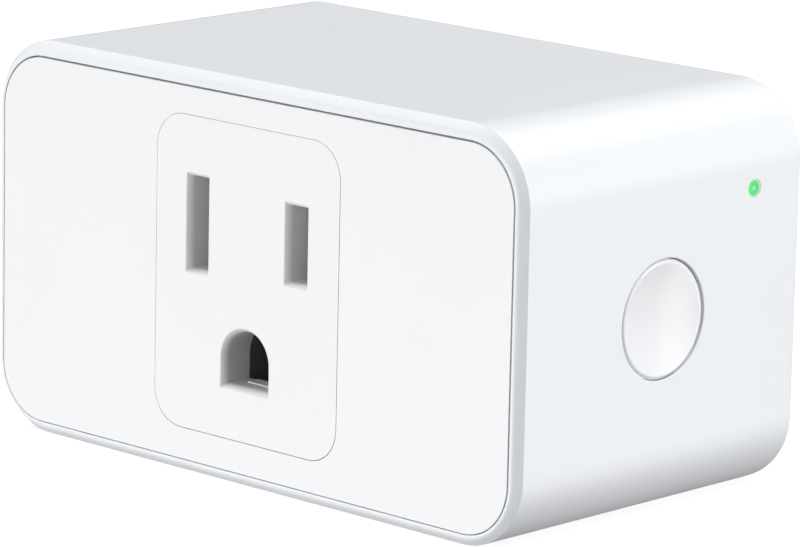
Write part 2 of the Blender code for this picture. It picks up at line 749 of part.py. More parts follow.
def make_relay_frame(colors):
    metal = 1.0 * MM
    path = [
        (behind(29.4 * MM), -8.0 * MM),
        (behind(29.4 * MM), ARMATURE_PIVOT_Z),
        (behind(18.6 * MM), ARMATURE_PIVOT_Z),
    ]
    prism("relay_yoke", [strip_outline(path, metal)], across_relay(7.4 * MM), "X", material=colors["steel"])
    path = [
        (behind(23.8 * MM), FIXED_CONTACT_Z),
        (behind(TAIL_END), FIXED_CONTACT_Z),
    ]
    strip = strip_outline(path, 0.6 * MM)
    fixed = prism("relay_fixed_contact", [strip], across_relay(4.4 * MM), "X", material=colors["brass"])
    rivet = (FIXED_CONTACT_Z - 1.0 * MM, FIXED_CONTACT_Z)
    centre = (RELAY_X, behind(RELAY_CONTACT_DEPTH))
    join(fixed, rod("fixed_rivet", RIVET_RADIUS, rivet, "Z", centre, 12))


def across_relay(width):
    """The X span of a strip this wide on the relay's middle plane."""
    return (RELAY_X - width / 2, RELAY_X + width / 2)


def make_armature(colors):
    """The hinged plate over the coil and the contact arm that it swings."""
    pivot_y = behind(ARMATURE_SPAN[1])
    plate_low = -7.0 * MM - ARMATURE_PIVOT_Z
    plate_high = 0.7 * MM
    thickness = ARMATURE_SPAN[1] - ARMATURE_SPAN[0]
    outline = [
        (-thickness, plate_low),
        (0.0, plate_low),
        (0.0, plate_high),
        (-thickness, plate_high),
    ]
    pivot = (pivot_y, ARMATURE_PIVOT_Z)
    prism("relay_armature", [outline], across_relay(6.6 * MM), "X", pivot, colors["steel"])
    arm_z = 1.2 * MM
    path = [
        (-thickness, arm_z),
        (behind(26.5 * MM) - pivot_y, arm_z),
    ]
    strip = strip_outline(path, 0.4 * MM)
    arm = prism("relay_contact_arm", [strip], across_relay(3.6 * MM), "X", pivot, colors["brass"])
    rivet = (ARMATURE_PIVOT_Z + arm_z, ARMATURE_PIVOT_Z + arm_z + 0.9 * MM)
    centre = (RELAY_X, behind(RELAY_CONTACT_DEPTH))
    join(arm, rod("arm_rivet", RIVET_RADIUS, rivet, "Z", centre, 12))


# Control board, button and light

def make_control_board(colors):
    low, high = CONTROL_BOARD_X
    length = PART_SEAT - CONTROL_BOARD_FRONT
    middle = (behind(PART_SEAT) - length / 2, 0.0)
    outline = rectangle(length, CONTROL_BOARD_HEIGHT)
    prism("control_board", [outline], (low, high), "X", middle, colors["board"])
    module = (low - GAP - 0.8 * MM, low - GAP)
    outline = rectangle(9.0 * MM, 18.0 * MM)
    centre = (behind(13.0 * MM), 0.0)
    prism("radio_board", [outline], module, "X", centre, colors["board"])
    shield_size = (2.2 * MM, 7.6 * MM, 11.5 * MM)
    shield_x = module[0] - GAP - shield_size[0] / 2
    shield = block("radio_shield", shield_size, (shield_x, centre[0], -2.4 * MM), colors["steel"])
    bevel(shield, 0.3 * MM)


def make_switch(colors):
    """A push switch under the button: a square body with a sliding round plunger."""
    foot = CONTROL_BOARD_X[1] + GAP
    height = 3.5 * MM
    centre = (behind(BUTTON_DEPTH), BUTTON_Z)
    body = block("switch_body", (height, 6.0 * MM, 6.0 * MM), (foot + height / 2, *centre), colors["black"])
    bevel(body, 0.3 * MM)
    bore = (foot + 0.6 * MM, foot + 2 * height)
    cut(body, rod("switch_bore", PLUNGER_RADIUS + GAP, bore, "X", centre, 16))
    top = foot + height + 1.4 * MM
    length = 3.5 * MM
    profile = [
        (0.0, 0.0),
        (PLUNGER_RADIUS - 0.2 * MM, 0.0),
        (PLUNGER_RADIUS, -0.2 * MM),
        (PLUNGER_RADIUS, -length),
        (0.0, -length),
    ]
    turned("switch_plunger", profile, "X", centre, top, colors["black"], 16)


def make_button(material):
    rim = 0.35 * MM
    flange_front = -WALL - GAP
    flange_back = flange_front - 1.0 * MM
    stem_end = -3.9 * MM
    dish_reach = BUTTON_RADIUS - 2 * rim
    profile = []
    for step in range(6):
        reach = dish_reach * step / 5
        profile.append((reach, -BUTTON_DISH * (1 - (reach / dish_reach) ** 2)))
    profile += arc((BUTTON_RADIUS - rim, -rim), rim, 90, 0, 3)
    profile += [
        (BUTTON_RADIUS, flange_front),
        (BUTTON_FLANGE_RADIUS, flange_front),
        (BUTTON_FLANGE_RADIUS, flange_back),
        (1.5 * MM, flange_back),
        (1.5 * MM, stem_end),
        (0.0, stem_end),
    ]
    turned("button_cap", profile, "X", (behind(BUTTON_DEPTH), BUTTON_Z), WIDTH / 2, material, 32)


def make_light(colors):
    """The light chip on the control board and the pipe that brings its light to the side."""
    foot = CONTROL_BOARD_X[1] + GAP
    centre = (behind(LIGHT_DEPTH), LIGHT_Z)
    chip_height = 0.9 * MM
    chip_width = 1.6 * MM
    chip_size = (chip_height, chip_width, chip_width)
    chip = block("status_light", chip_size, (foot + chip_height / 2, *centre), colors["ceramic"])
    bevel(chip, 0.15 * MM)
    face = -0.05 * MM
    shoulder = -WALL - GAP
    shoulder_radius = LIGHT_RADIUS + 0.2 * MM
    end = foot + chip_height + GAP - WIDTH / 2
    profile = [
        (0.0, face),
        (LIGHT_RADIUS, face),
        (LIGHT_RADIUS, shoulder),
        (shoulder_radius, shoulder),
        (shoulder_radius, end),
        (0.0, end),
    ]
    turned("light_pipe", profile, "X", centre, WIDTH / 2, colors["clear"], 16)


def make_colors():
    return {
        "shell": make_material("white_plastic", (0.86, 0.87, 0.89), 0.35),
        "plate": make_material("white_plate", (0.88, 0.89, 0.91), 0.4),
        "white": make_material("white_socket_plastic", (0.85, 0.86, 0.88), 0.45),
        "plating": make_material("nickel_plating", (0.78, 0.76, 0.7), 0.3, 1.0),
        "brass": make_material("rolled_brass", (0.78, 0.62, 0.32), 0.3, 1.0),
        "steel": make_material("plated_steel", (0.6, 0.6, 0.61), 0.35, 1.0),
        "board": make_material("green_board", (0.03, 0.18, 0.08), 0.5),
        "black": make_material("black_plastic", (0.02, 0.02, 0.022), 0.5),
        "grey": make_material("grey_plastic", (0.25, 0.25, 0.26), 0.6),
        "relay": make_material("relay_blue", (0.04, 0.14, 0.42), 0.4),
        "sleeve": make_material("capacitor_sleeve", (0.05, 0.05, 0.09), 0.4),
        "ferrite": make_material("ferrite", (0.07, 0.07, 0.075), 0.7),
        "copper": make_material("enamelled_copper", (0.62, 0.26, 0.12), 0.35, 1.0),
        "yellow": make_material("film_capacitor", (0.75, 0.56, 0.08), 0.45),
        "ceramic": make_material("ceramic", (0.72, 0.66, 0.55), 0.6),
        "blue": make_material("varistor_blue", (0.06, 0.2, 0.5), 0.5),
        "clear": make_material("light_pipe", (0.55, 0.95, 0.62), 0.2),
    }


def main():
    colors = make_colors()
    make_housing(colors["shell"])
    make_faceplate(colors["plate"])
    make_rear_cover(colors["shell"])
    make_cover_screws(colors["steel"])
    make_socket_insert(colors["white"])
    make_contact_carrier(colors["grey"])
    make_contacts(colors["brass"])
    make_blade("line_blade", SLOT_SPACING / 2, LINE_BLADE_HEIGHT, colors["plating"])
    make_blade("neutral_blade", -SLOT_SPACING / 2, NEUTRAL_BLADE_HEIGHT, colors["plating"])
    make_ground_pin(colors["plating"])
    make_main_board(colors["board"])
    make_board_parts(colors)
    make_relay_case(colors)
    make_relay_coil(colors)
    make_relay_frame(colors)
    make_armature(colors)
    make_control_board(colors)
    make_switch(colors)
    make_button(colors["shell"])
    make_light(colors)


clear_scene()
PARTS = make_collection("smart_plug")
TOOLS = make_collection("cutters")
main()
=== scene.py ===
"""Looks of a smart plug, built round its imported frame.

Metres, +Z up. The socket face looks along -Y, the blades stand out along +Y, and the
push button is on the +X side. Outlines are drawn flat, as lists of (a, b) points, and
set across the Y axis as (x, z) or across the X axis as (y, z).
"""

import json
import math

import bmesh
import bpy
from mathutils import Matrix, Vector


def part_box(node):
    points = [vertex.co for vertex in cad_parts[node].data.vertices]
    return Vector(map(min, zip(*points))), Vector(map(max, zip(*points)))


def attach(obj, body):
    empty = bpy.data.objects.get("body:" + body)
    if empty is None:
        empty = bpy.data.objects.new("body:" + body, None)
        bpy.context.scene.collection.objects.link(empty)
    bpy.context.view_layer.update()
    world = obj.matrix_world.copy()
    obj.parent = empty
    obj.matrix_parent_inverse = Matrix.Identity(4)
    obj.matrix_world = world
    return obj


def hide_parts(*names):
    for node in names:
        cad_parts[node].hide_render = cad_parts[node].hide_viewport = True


MM = 0.001

# Case: its walls, and the seam round the front plate. NODE_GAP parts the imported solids, and
# SEAM_GAP is the finer gap that shows.
NODE_GAP = 0.3 * MM
SEAM_GAP = 0.12 * MM
SEAM_RADIUS = 5.3 * MM
PLATE_SHIFT = (-0.04 * MM, -0.05 * MM)
PLATE_EDGE = 0.06 * MM
CORNER_RADIUS = 7.0 * MM
PLATE_SEAT = 1.3 * MM
FRONT_WALL = 3.1 * MM
WALL = 1.8 * MM
CAVITY_LIP = 0.15 * MM
BOSS_RADIUS = 2.5 * MM
BOSS_ROOT = 0.6 * MM
PILOT_RADIUS = 1.4 * MM

# Rim round the front plate: its flat land, how far it slopes back, and its edge radii
RIM_LAND = 0.38 * MM
RIM_SLOPE = 0.74 * MM
RIM_ROUND = 0.8 * MM
SEAM_ROLL = 0.04 * MM
RIM_EDGE = 0.14 * MM
REAR_EDGE = 1.2 * MM

# Socket face: a flush island with a hidden flange behind it
ISLAND_LINE = 0.05 * MM
ISLAND_EDGE = 0.02 * MM
ISLAND_RADIUS = 3.4 * MM
ISLAND_SHIFT = (-0.012 * MM, 0.015 * MM)
FLANGE_REACH = 1.45 * MM
FLANGE_FRONT = 3.4 * MM

# Socket openings. The lead-in curves from LEAD_START degrees off the face to the throat's wall.
SLOT_SPACING = 12.7 * MM
SLOT_Z = 4.72 * MM
SLOT_WIDTH = 3.0 * MM
SLOT_CORNER = 0.12 * MM
NEUTRAL_SLOT_HEIGHT = 9.4 * MM
LINE_SLOT_HEIGHT = 7.8 * MM
GROUND_Z = -7.13 * MM
GROUND_RADIUS = 3.13 * MM
GROUND_FLOOR = 2.87 * MM
OPENING_ROLL = 0.01 * MM
LEAD_IN = 0.39 * MM
LEAD_DEPTH = 0.84 * MM
LEAD_START = 43
LEAD_STEPS = 10
THROAT_DEPTH = 3.4 * MM
THROAT_STEP = 0.9 * MM
LEDGE_START = 2.05 * MM
LEDGE_LEFT = -1.6 * MM
LEDGE_RISE = 0.11 * MM

# Button and light window
BUTTON_RADIUS = 5.4 * MM
BUTTON_BORE = 5.56 * MM
BUTTON_SHIFT = 0.07 * MM
BUTTON_LIP = 0.1 * MM
BUTTON_SKIRT = 5.47 * MM
BUTTON_RIM = 0.3 * MM
BUTTON_DISH = 0.7 * MM
BUTTON_STEM = 1.5 * MM
DISH_RINGS = 24
LIGHT_RADIUS = 0.9 * MM
LIGHT_DOME = 0.03 * MM
LIGHT_GAP = 0.005 * MM

# Rear: the cover's openings, the blades, the ground pin and the screws
COVER_REACH = 0.12 * MM
COVER_EDGE = 0.25 * MM
COVER_CORNER_GAP = 0.18 * MM
OPENING_GAP = 0.15 * MM
OPENING_EDGE = 0.15 * MM
OPENING_CORNER = 0.25 * MM
POCKET_RADIUS = 2.4 * MM
POCKET_EDGE = 0.2 * MM
POCKET_DEPTH = 1.6 * MM
BLADE_HALF = 0.75 * MM
BLADE_TIP = 1.6 * MM
BLADE_EDGE = 0.12 * MM
BLADE_HOLE_RADIUS = 1.6 * MM
BLADE_HOLE_Y = 12.0 * MM
BLADE_HOLE_EDGE = 0.15 * MM
BLADE_HEAD = (34.5 * MM, 35.5 * MM)
PIN_RADIUS = 2.4 * MM
SCREW_HEAD_RADIUS = 2.1 * MM
SCREW_HEAD_HEIGHT = 1.1 * MM
SCREW_SHANK = 0.85 * MM
THREAD_HEIGHT = 0.25 * MM
THREAD_PITCH = 1.3 * MM
THREAD_TAPER = 1.5 * MM
THREAD_LEVELS = 72
RECESS_LONG = 1.25 * MM
RECESS_SHORT = 0.28 * MM
RECESS_DEPTH = 0.8 * MM

# Camera, rounded from a scratch fit to the photo's edges
TARGET = Vector((1.29, -19.03, -1.35)) * MM
AZIMUTH = 43.425
ELEVATION = 12.292
ROLL = 1.222
DISTANCE = 470.0 * MM
LENS = 226.86

# Lights, and the pale floor's glow
SOFTBOX_SIZE = 0.5
SOFTBOX_DISTANCE = 1.0
FLOOR_REACH = 3.0
FLOOR_DROP = 0.02 * MM
FLOOR_GLOW = 0.6
WORLD_RADIANCE = 0.08

CORNER_STEPS = 28
TURN_STEPS = 128
SCREW_STEPS = 32

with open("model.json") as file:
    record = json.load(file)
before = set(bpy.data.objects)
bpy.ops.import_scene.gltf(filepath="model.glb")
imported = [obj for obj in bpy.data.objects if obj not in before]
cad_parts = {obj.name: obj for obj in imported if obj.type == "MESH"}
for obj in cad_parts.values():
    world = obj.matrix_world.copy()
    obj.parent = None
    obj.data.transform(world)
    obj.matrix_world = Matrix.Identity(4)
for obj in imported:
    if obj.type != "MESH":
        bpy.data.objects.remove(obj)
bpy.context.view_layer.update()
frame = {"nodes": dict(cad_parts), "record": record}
BODY_OF = {
    node: body for body, nodes in frame["record"]["behaviour"]["bodies"].items() for node in nodes
}

CASE_LOW, CASE_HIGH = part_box("housing")
HALF_WIDTH = CASE_HIGH.x
HALF_HEIGHT = CASE_HIGH.z
FRONT = CASE_LOW.y
DEPTH = CASE_HIGH.y - CASE_LOW.y
PLATE_LOW, PLATE_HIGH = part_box("faceplate")
SEAM_Z = (PLATE_LOW.z + PLATE_HIGH.z) / 2
SEAM_HALF = (PLATE_HIGH.x + NODE_GAP / 2, PLATE_HIGH.z - SEAM_Z + NODE_GAP / 2)
FLANGE_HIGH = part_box("socket_insert")[1]
ISLAND_HALF = (FLANGE_HIGH.x - FLANGE_REACH, FLANGE_HIGH.z - FLANGE_REACH)
FLANGE_BACK = FLANGE_HIGH.y - FRONT


def middle(node):
    low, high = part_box(node)
    return (low + high) / 2


# Outlines and paths


def arc(centre, radius, start, end, steps):
    points = []
    for step in range(steps + 1):
        angle = math.radians(start + (end - start) * step / steps)
        points.append((centre[0] + radius * math.cos(angle), centre[1] + radius * math.sin(angle)))
    return points


def circle(radius, centre=(0.0, 0.0), steps=TURN_STEPS):
    return arc(centre, radius, 0, 360 * (steps - 1) / steps, steps - 1)


def rounded_rectangle(half_width, half_height, radius, centre=(0.0, 0.0), steps=CORNER_STEPS):
    reach_x = half_width - radius
    reach_y = half_height - radius
    points = []
    for sign_x, sign_y, start in ((1, 1, 0), (-1, 1, 90), (-1, -1, 180), (1, -1, 270)):
        corner = (centre[0] + sign_x * reach_x, centre[1] + sign_y * reach_y)
        points += arc(corner, radius, start, start + 90, steps)
    return points


def grown(half, radius, margin, centre=(0.0, 0.0)):
    """A rounded rectangle of these half sizes and radius, grown by a margin."""
    return rounded_rectangle(half[0] + margin, half[1] + margin, radius + margin, centre)


def ground_outline(margin):
    """The D-shaped ground opening, grown by a margin: an arch over a flat floor."""
    radius = GROUND_RADIUS + margin
    floor = GROUND_Z - GROUND_FLOOR - margin
    return [(-radius, floor), (radius, floor)] + arc((0.0, GROUND_Z), radius, 0, 180, 48)


def soften(corners, steps=8):
    """An open path through (a, b, radius) corners, each rounded off by its radius."""
    path = []
    for index, (a, b, radius) in enumerate(corners):
        here = Vector((a, b))
        if radius == 0:
            path.append(here)
            continue
        back = (Vector(corners[index - 1][:2]) - here).normalized()
        ahead = (Vector(corners[index + 1][:2]) - here).normalized()
        half_angle = back.angle(ahead) / 2
        centre = here + (back + ahead).normalized() * radius / math.sin(half_angle)
        spoke = here + back * radius / math.tan(half_angle) - centre
        turn = spoke.angle_signed(here + ahead * radius / math.tan(half_angle) - centre)
        for step in range(steps + 1):
            path.append(centre + Matrix.Rotation(-turn * step / steps, 2) @ spoke)
    return [(point[0], point[1]) for point in path]


# Solids


def place(axis, outline, along):
    if axis == "X":
        return [(along, a, b) for a, b in outline]
    if axis == "Z":
        return [(a, b, along) for a, b in outline]
    return [(a, along, b) for a, b in outline]


def new_object(name, shape):
    mesh = bpy.data.meshes.new(name)
    bmesh.ops.recalc_face_normals(shape, faces=shape.faces)
    shape.to_mesh(mesh)
    shape.free()
    item = bpy.data.objects.new(name, mesh)
    bpy.context.scene.collection.objects.link(item)
    return item


def loft(name, rings):
    """A closed solid skinned over rings of 3D points. A ring of one point is a tip."""
    shape = bmesh.new()
    loops = [[shape.verts.new(point) for point in ring] for ring in rings]
    for near, far in zip(loops, loops[1:]):
        count = max(len(near), len(far))
        for index in range(count):
            after = (index + 1) % count
            if len(near) == 1:
                shape.faces.new((near[0], far[after], far[index]))
            elif len(far) == 1:
                shape.faces.new((near[index], near[after], far[0]))
            else:
                shape.faces.new((near[index], near[after], far[after], far[index]))
    for loop in (loops[0], loops[-1]):
        if len(loop) > 1:
            shape.faces.new(loop)
    return new_object(name, shape)


def stack(name, axis, levels):
    """A loft over (outline, position along the axis) levels."""
    return loft(name, [place(axis, outline, along) for outline, along in levels])


def turned(name, axis, centre, profile, steps=TURN_STEPS):
    """A solid turned about an axis from a profile of (radius, position along the axis)."""
    rings = []
    for radius, along in profile:
        outline = circle(radius, centre, steps) if radius > 1e-7 else [centre]
        rings.append(place(axis, outline, along))
    return loft(name, rings)


def apply_modifiers(item):
    bpy.context.view_layer.update()
    evaluated = item.evaluated_get(bpy.context.evaluated_depsgraph_get())
    finished = bpy.data.meshes.new_from_object(evaluated)
    item.modifiers.clear()
    item.data = finished


def combine(item, operation, tools):
    for tool in tools:
        boolean = item.modifiers.new("Boolean", "BOOLEAN")
        boolean.operation = operation
        boolean.object = tool
    apply_modifiers(item)
    for tool in tools:
        bpy.data.objects.remove(tool, do_unlink=True)


def cut(item, *tools):
    combine(item, "DIFFERENCE", tools)


def join(item, *tools):
    combine(item, "UNION", tools)


def round_edges(item, width):
    bevel = item.modifiers.new("Bevel", "BEVEL")
    bevel.width = width
    bevel.segments = 3
    bevel.limit_method = "ANGLE"
    bevel.angle_limit = math.radians(40)
    apply_modifiers(item)


def finish_piece(item, node, material, sharp=35):
    """Shade a detailed piece and let it stand for its node, on that node's body."""
    item.data.shade_smooth()
    item.data.set_sharp_from_angle(angle=math.radians(sharp))
    weighted = item.modifiers.new("Weighted", "WEIGHTED_NORMAL")
    weighted.keep_sharp = True
    apply_modifiers(item)
    item.data.materials.clear()
    item.data.materials.append(material)
    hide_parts(node)
    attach(item, BODY_OF[node])
    return item


def flare(edge, steps=4):
    """(margin, depth) steps of a tool that leaves a rounded lip of this radius at a face."""
    levels = []
    for step in range(steps + 1):
        angle = math.radians(90 * step / steps)
        levels.append((edge * (1 - math.sin(angle)), edge * (1 - math.cos(angle))))
    return levels


# Case


def rim_outline(reach):
    """The case's outline this far outside the seam, measured across the side rims."""
    share = reach / (HALF_WIDTH - SEAM_HALF[0] - SEAM_GAP / 2)
    start = [size + SEAM_GAP / 2 for size in (*SEAM_HALF, SEAM_RADIUS)]
    end = (HALF_WIDTH, HALF_HEIGHT, CORNER_RADIUS)
    sizes = [near + (far - near) * share for near, far in zip(start, end)]
    return rounded_rectangle(*sizes, (0.0, SEAM_Z * (1 - share)))


def make_housing():
    rim = HALF_WIDTH - SEAM_HALF[0] - SEAM_GAP / 2
    profile = soften([
        (0.0, PLATE_SEAT, 0),
        (0.0, 0.0, SEAM_ROLL),
        (RIM_LAND, 0.0, RIM_ROUND),
        (rim, RIM_SLOPE, RIM_EDGE),
        (rim, DEPTH, REAR_EDGE),
        (rim - 2 * REAR_EDGE, DEPTH, 0),
    ])
    levels = [(rim_outline(reach), FRONT + depth) for reach, depth in profile]
    housing = stack("housing_shell", "Y", levels)
    inner = (HALF_WIDTH - WALL, HALF_HEIGHT - WALL)
    inner_radius = CORNER_RADIUS - WALL
    mouth = grown(inner, inner_radius, CAVITY_LIP)
    hollow = grown(inner, inner_radius, 0.0)
    cavity = [(mouth, DEPTH), (mouth, 0.0), (hollow, -CAVITY_LIP), (hollow, FRONT + FRONT_WALL)]
    opening = grown(ISLAND_HALF, ISLAND_RADIUS, NODE_GAP / 2)
    cut(housing, stack("cavity", "Y", cavity))
    join(housing, *[make_boss(node) for node in SCREWS])
    cut(
        housing,
        stack("window", "Y", [(opening, FRONT), (opening, FRONT + 2 * FRONT_WALL)]),
        side_bore("button_cap", BUTTON_BORE, BUTTON_LIP, BUTTON_SHIFT),
        side_bore("light_pipe", LIGHT_RADIUS + LIGHT_GAP, LIGHT_GAP),
    )
    return finish_piece(housing, "housing", PLASTIC["case"])


def make_boss(node):
    """The tube that a cover screw bites in, wider at its root in the front wall."""
    centre = middle(node)
    spot = (centre.x, centre.z)
    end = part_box("rear_cover")[0].y - NODE_GAP
    start = FRONT + FRONT_WALL - 0.5 * MM
    boss = turned("boss", "Y", spot, soften([
        (BOSS_RADIUS + BOSS_ROOT, start, 0),
        (BOSS_RADIUS, start + 1.4 * MM, 0.5 * MM),
        (BOSS_RADIUS, end, 0.2 * MM),
        (PILOT_RADIUS, end, 0),
    ]), SCREW_STEPS)
    pilot = [(PILOT_RADIUS, start + 2 * MM), (PILOT_RADIUS, end + MM)]
    cut(boss, turned("pilot", "Y", spot, pilot, SCREW_STEPS))
    return boss


def side_bore(node, radius, edge, shift=0.0):
    """A round tool through the button's side wall, with a rounded lip, shifted to the rear."""
    centre = middle(node) + Vector((0.0, shift, 0.0))
    profile = [(radius + edge, HALF_WIDTH + WALL)]
    profile += [(radius + margin, HALF_WIDTH - depth) for margin, depth in flare(edge)]
    profile.append((radius, HALF_WIDTH - 2 * WALL))
    return turned("bore", "X", (centre.y, centre.z), profile)


def make_faceplate():
    low, high = PLATE_LOW.y, PLATE_HIGH.y
    half = [size - SEAM_GAP / 2 for size in SEAM_HALF]
    radius = SEAM_RADIUS - SEAM_GAP / 2
    centre = (PLATE_SHIFT[0], SEAM_Z + PLATE_SHIFT[1])
    profile = soften([(-2 * PLATE_EDGE, low, 0), (0.0, low, PLATE_EDGE), (0.0, high, 0)])
    levels = [(grown(half, radius, margin, centre), along) for margin, along in profile]
    plate = stack("faceplate_panel", "Y", levels)
    window = [(grown(ISLAND_HALF, ISLAND_RADIUS, ISLAND_LINE / 2 + ISLAND_EDGE), low - MM)]
    for margin, depth in flare(ISLAND_EDGE):
        window.append((grown(ISLAND_HALF, ISLAND_RADIUS, ISLAND_LINE / 2 + margin), low + depth))
    window.append((grown(ISLAND_HALF, ISLAND_RADIUS, ISLAND_LINE / 2), high + MM))
    cut(plate, stack("window", "Y", window))
    return finish_piece(plate, "faceplate", PLASTIC["plate"])


# Socket face


def opening_levels(outline):
    """A tool's levels for one opening: an edge curving in to the throat, then a wider well."""
    levels = [(outline(OPENING_ROLL), FRONT - MM), (outline(OPENING_ROLL), FRONT)]
    start = math.radians(LEAD_START)
    for step in range(LEAD_STEPS + 1):
        angle = start + (math.pi / 2 - start) * step / LEAD_STEPS
        inset = LEAD_IN * (math.sin(angle) - math.sin(start)) / (1 - math.sin(start))
        depth = LEAD_DEPTH * (1 - math.cos(angle) / math.cos(start))
        levels.append((outline(-inset), FRONT + OPENING_ROLL / 2 + depth))
    return levels + [
        (outline(-LEAD_IN), FRONT + THROAT_DEPTH),
        (outline(THROAT_STEP), FRONT + THROAT_DEPTH + 0.02 * MM),
        (outline(THROAT_STEP), FRONT + FLANGE_BACK + MM),
    ]


def slot_outline(x, height):
    def outline(margin):
        half = (SLOT_WIDTH / 2 + margin, height / 2 + margin)
        return rounded_rectangle(*half, SLOT_CORNER, (x, SLOT_Z), 4)
    return outline


def make_socket_face():
    half_line = ISLAND_LINE / 2
    profile = soften([
        (-half_line - 4 * ISLAND_EDGE, 0.0, 0),
        (-half_line, 0.0, ISLAND_EDGE),
        (-half_line, FLANGE_FRONT, 0),
        (FLANGE_REACH, FLANGE_FRONT, 0.15 * MM),
        (FLANGE_REACH, FLANGE_BACK, 0),
    ])
    levels = []
    for margin, depth in profile:
        levels.append((grown(ISLAND_HALF, ISLAND_RADIUS, margin, ISLAND_SHIFT), FRONT + depth))
    face = stack("socket_face", "Y", levels)
    neutral = slot_outline(-SLOT_SPACING / 2, NEUTRAL_SLOT_HEIGHT)
    line = slot_outline(SLOT_SPACING / 2, LINE_SLOT_HEIGHT)
    tools = [stack("slot", "Y", opening_levels(outline)) for outline in (neutral, line)]
    tools.append(stack("ground", "Y", opening_levels(ground_outline)))
    cut(face, *tools)
    join(face, make_ledge())
    return finish_piece(face, "socket_insert", PLASTIC["socket"], 25)


def make_ledge():
    """The low step on the ground opening's floor."""
    floor = GROUND_Z - GROUND_FLOOR + LEAD_IN
    low, high = floor - MM / 2, floor + LEDGE_RISE
    block = [(LEDGE_LEFT, low), (GROUND_RADIUS, low), (GROUND_RADIUS, high), (LEDGE_LEFT, high)]
    span = (FRONT + LEDGE_START, FRONT + THROAT_DEPTH)
    return stack("ledge", "Y", [(block, along) for along in span])


# Button and light


def make_button():
    low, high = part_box("button_cap")
    dish_reach = BUTTON_RADIUS - BUTTON_RIM
    flange_front = -WALL - NODE_GAP
    profile = []
    for ring in range(DISH_RINGS + 1):
        reach = dish_reach * ring / DISH_RINGS
        profile.append((reach, -BUTTON_DISH * (1 - (reach / dish_reach) ** 2)))
    profile += arc((dish_reach, -BUTTON_RIM), BUTTON_RIM, 85, 0, 8)
    flange = (high.z - low.z) / 2
    profile += [
        (BUTTON_SKIRT, -1.05 * BUTTON_RIM),
        (BUTTON_SKIRT, flange_front),
        (flange, flange_front),
        (flange, flange_front - MM),
        (BUTTON_STEM, flange_front - MM),
        (BUTTON_STEM, low.x - high.x),
        (0.0, low.x - high.x),
    ]
    centre = middle("button_cap")
    profile = [(reach, high.x + along) for reach, along in profile]
    cap = turned("push_button", "X", (centre.y, centre.z), profile)
    return finish_piece(cap, "button_cap", PLASTIC["button"], 50)


def make_light():
    low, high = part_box("light_pipe")
    shoulder = (high.z - low.z) / 2
    rings = 8
    profile = []
    for ring in range(rings):
        share = ring / rings
        profile.append((LIGHT_RADIUS * ring / rings, high.x - LIGHT_DOME * share ** 2))
    profile += [
        (LIGHT_RADIUS, high.x - 1.5 * LIGHT_DOME),
        (LIGHT_RADIUS, high.x - WALL),
        (shoulder, high.x - WALL - 0.2 * MM),
        (shoulder, low.x),
        (0.0, low.x),
    ]
    centre = middle("light_pipe")
    pipe = turned("status_light_pipe", "X", (centre.y, centre.z), profile, 64)
    return finish_piece(pipe, "light_pipe", LIGHT_GREEN, 50)


# Rear


SCREWS = ["cover_screw_%d" % number for number in range(1, 5)]


def make_rear_cover():
    low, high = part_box("rear_cover")
    half = (high.x + COVER_REACH, high.z + COVER_REACH)
    radius = CORNER_RADIUS - WALL - COVER_CORNER_GAP
    profile = soften([
        (0.0, low.y, 0),
        (0.0, high.y, COVER_EDGE),
        (-0.6 * MM, high.y, 0),
    ])
    levels = [(grown(half, radius, margin), along) for margin, along in profile]
    cover = stack("rear_panel", "Y", levels)
    outlines = [blade_opening("line_blade"), blade_opening("neutral_blade"), pin_opening]
    tools = [rear_tool(outline, low.y, high.y) for outline in outlines]
    tools += [counterbore(node, low.y, high.y) for node in SCREWS]
    cut(cover, *tools)
    return finish_piece(cover, "rear_cover", PLASTIC["case"])


def blade_opening(node):
    low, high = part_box(node)
    centre = middle(node)
    half = (BLADE_HALF, (high.z - low.z) / 2)

    def outline(margin):
        return rounded_rectangle(
            half[0] + OPENING_GAP + margin,
            half[1] + OPENING_GAP + margin,
            OPENING_CORNER + margin,
            (centre.x, centre.z),
            6,
        )
    return outline


def pin_opening(margin):
    return circle(PIN_RADIUS + OPENING_GAP + margin, (0.0, GROUND_Z), 64)


def counterbore(node, low, high):
    """A tool that leaves a screw's head pocket and clearance hole in the rear cover."""
    centre = middle(node)
    return turned("counterbore", "Y", (centre.x, centre.z), [
        (POCKET_RADIUS + POCKET_EDGE, high + MM),
        (POCKET_RADIUS + POCKET_EDGE, high),
        (POCKET_RADIUS, high - POCKET_EDGE),
        (POCKET_RADIUS, high - POCKET_DEPTH),
        (PILOT_RADIUS, high - POCKET_DEPTH),
        (PILOT_RADIUS, low - MM),
    ], 48)


def rear_tool(outline, low, high):
    levels = [(outline(OPENING_EDGE), high + MM)]
    levels += [(outline(margin), high - depth) for margin, depth in flare(OPENING_EDGE)]
    levels.append((outline(0.0), low - MM))
    return stack("rear_opening", "Y", levels)


